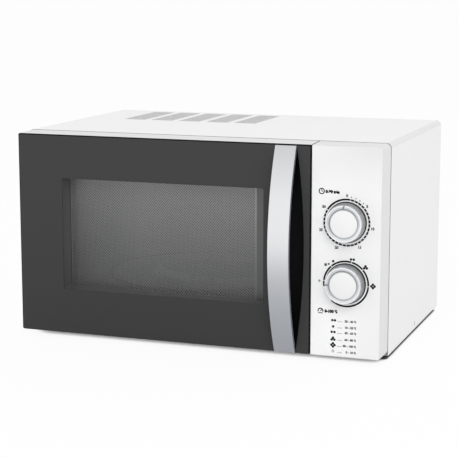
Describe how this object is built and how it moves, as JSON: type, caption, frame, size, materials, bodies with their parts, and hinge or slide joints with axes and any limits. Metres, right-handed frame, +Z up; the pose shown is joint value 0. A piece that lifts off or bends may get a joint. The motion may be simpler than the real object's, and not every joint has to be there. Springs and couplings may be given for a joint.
{
  "type": "microwave oven",
  "caption": "Countertop microwave oven with a side-hinged windowed door, bowed handle, two rotary dials, glass turntable and vented cabinet.",
  "frame": {"origin": "on the worktop, under the middle of the oven's outer box", "axes": "+X to the right seen from the front, +Y to the back, +Z up"},
  "size_m": [0.452, 0.336, 0.25],
  "materials": {
    "cabinet_paint": "smooth semi-matt white powder coat",
    "cavity_enamel": "pale grey semi-gloss enamel",
    "zinc_steel": "galvanised sheet, dull",
    "screen_steel": "dark coated perforated sheet",
    "white_plastic": "fine-textured white moulding",
    "charcoal_plastic": "smooth charcoal moulding",
    "black_plastic": "black moulding",
    "handle_silver": "satin silver coating",
    "knob_white": "satin white with a silver side",
    "pale_nylon": "natural nylon",
    "clear_glass": "clear pressed glass",
    "clear_film": "clear protective film",
    "mica": "dull silvery brown sheet",
    "copper": "bare and enamelled copper",
    "aluminium": "plain",
    "laminations": "varnished core steel",
    "rubber": "matt black",
    "circuit_board": "brown board with parts"
  },
  "bodies": {
    "chassis": {"outer_cabinet": "cabinet_paint", "oven_cavity": "cavity_enamel", "base_plate": "zinc_steel", "rear_panel": "zinc_steel", "front_frame": "zinc_steel", "hinge_upper": "zinc_steel", "hinge_lower": "zinc_steel", "timer_bell": "zinc_steel", "waveguide": "zinc_steel", "magnetron_yoke": "zinc_steel", "capacitor_strap": "zinc_steel", "turntable_motor": "zinc_steel", "control_panel": "white_plastic", "cord_gland": "black_plastic", "door_switch_upper": "black_plastic", "door_switch_lower": "black_plastic", "monitor_switch": "black_plastic", "hv_diode": "black_plastic", "thermal_cutout": "black_plastic", "fan_shroud": "black_plastic", "air_duct": "black_plastic", "latch_board": "pale_nylon", "timer_unit": "pale_nylon", "power_selector": "pale_nylon", "lamp_holder": "pale_nylon", "oven_lamp": "clear_glass", "waveguide_cover": "mica", "magnetron_antenna": "copper", "transformer_winding": "copper", "magnetron_core": "aluminium", "magnetron_filter": "aluminium", "hv_capacitor": "aluminium", "transformer_core": "laminations", "fan_motor": "laminations", "foot_front_left": "rubber", "foot_front_right": "rubber", "foot_rear_left": "rubber", "foot_rear_right": "rubber", "mains_filter": "circuit_board"},
    "door": {"door_frame": "white_plastic", "door_front": "charcoal_plastic", "door_screen": "screen_steel", "window_film": "clear_film", "door_pan": "zinc_steel", "choke_cover": "black_plastic", "door_handle": "handle_silver", "latch_spring": "zinc_steel"},
    "latch": {"door_latch": "pale_nylon"},
    "timer_dial": {"timer_knob": "knob_white", "timer_shaft": "zinc_steel"},
    "power_dial": {"power_knob": "knob_white", "power_shaft": "zinc_steel"},
    "fan": {"fan_blade": "black_plastic"},
    "turntable_drive": {"turntable_coupler": "pale_nylon"},
    "tray": {"glass_tray": "clear_glass"},
    "roller_spider": {"roller_ring": "pale_nylon"},
    "roller_wheel_1": {"roller_1": "pale_nylon"},
    "roller_wheel_2": {"roller_2": "pale_nylon"},
    "roller_wheel_3": {"roller_3": "pale_nylon"}
  },
  "joints": [
    {"name": "door_hinge", "type": "hinge", "parent": "chassis", "child": "door", "pos_m": [-0.214, -0.117, 0.128], "axis": [0, 0, -1], "range_deg": [0, 100]},
    {"name": "latch_lift", "type": "slide", "parent": "door", "child": "latch", "axis": [0, 0, 1], "range_m": [0, 0.004], "stiffness_N_per_m": 300, "springref_m": -0.006, "deforming": ["latch_spring"]},
    {"name": "timer_turn", "type": "hinge", "parent": "chassis", "child": "timer_dial", "pos_m": [0.1842, -0.139, 0.1634], "axis": [0, 1, 0], "range_deg": [0, 302]},
    {"name": "power_turn", "type": "hinge", "parent": "chassis", "child": "power_dial", "pos_m": [0.1842, -0.139, 0.0936], "axis": [0, 1, 0], "range_deg": [0, 180]},
    {"name": "fan_spin", "type": "hinge", "parent": "chassis", "child": "fan", "pos_m": [0.167, 0.136, 0.15], "axis": [0, 1, 0], "continuous": true},
    {"name": "turntable_spin", "type": "hinge", "parent": "chassis", "child": "turntable_drive", "pos_m": [-0.0475, 0.0266, 0.034], "axis": [0, 0, 1], "continuous": true},
    {"name": "tray_lift", "type": "slide", "parent": "turntable_drive", "child": "tray", "axis": [0, 0, 1], "range_m": [0, 0.03]},
    {"name": "roller_orbit", "type": "hinge", "parent": "chassis", "child": "roller_spider", "pos_m": [-0.0475, 0.0266, 0.0415], "axis": [0, 0, 1], "continuous": true},
    {"name": "roller_spin_1", "type": "hinge", "parent": "roller_spider", "child": "roller_wheel_1", "pos_m": [0.03217, 0.0726, 0.0415], "axis": [0.866, 0.5, 0], "continuous": true},
    {"name": "roller_spin_2", "type": "hinge", "parent": "roller_spider", "child": "roller_wheel_2", "pos_m": [-0.12717, 0.0726, 0.0415], "axis": [-0.866, 0.5, 0], "continuous": true},
    {"name": "roller_spin_3", "type": "hinge", "parent": "roller_spider", "child": "roller_wheel_3", "pos_m": [-0.0475, -0.0654, 0.0415], "axis": [0, -1, 0], "continuous": true}
  ],
  "couplings": [
    {"joint": "roller_orbit", "follows": "turntable_spin", "ratio": 0.5},
    {"joint": "roller_spin_1", "follows": "turntable_spin", "ratio": -6.3889},
    {"joint": "roller_spin_2", "follows": "turntable_spin", "ratio": -6.3889},
    {"joint": "roller_spin_3", "follows": "turntable_spin", "ratio": -6.3889}
  ]
}
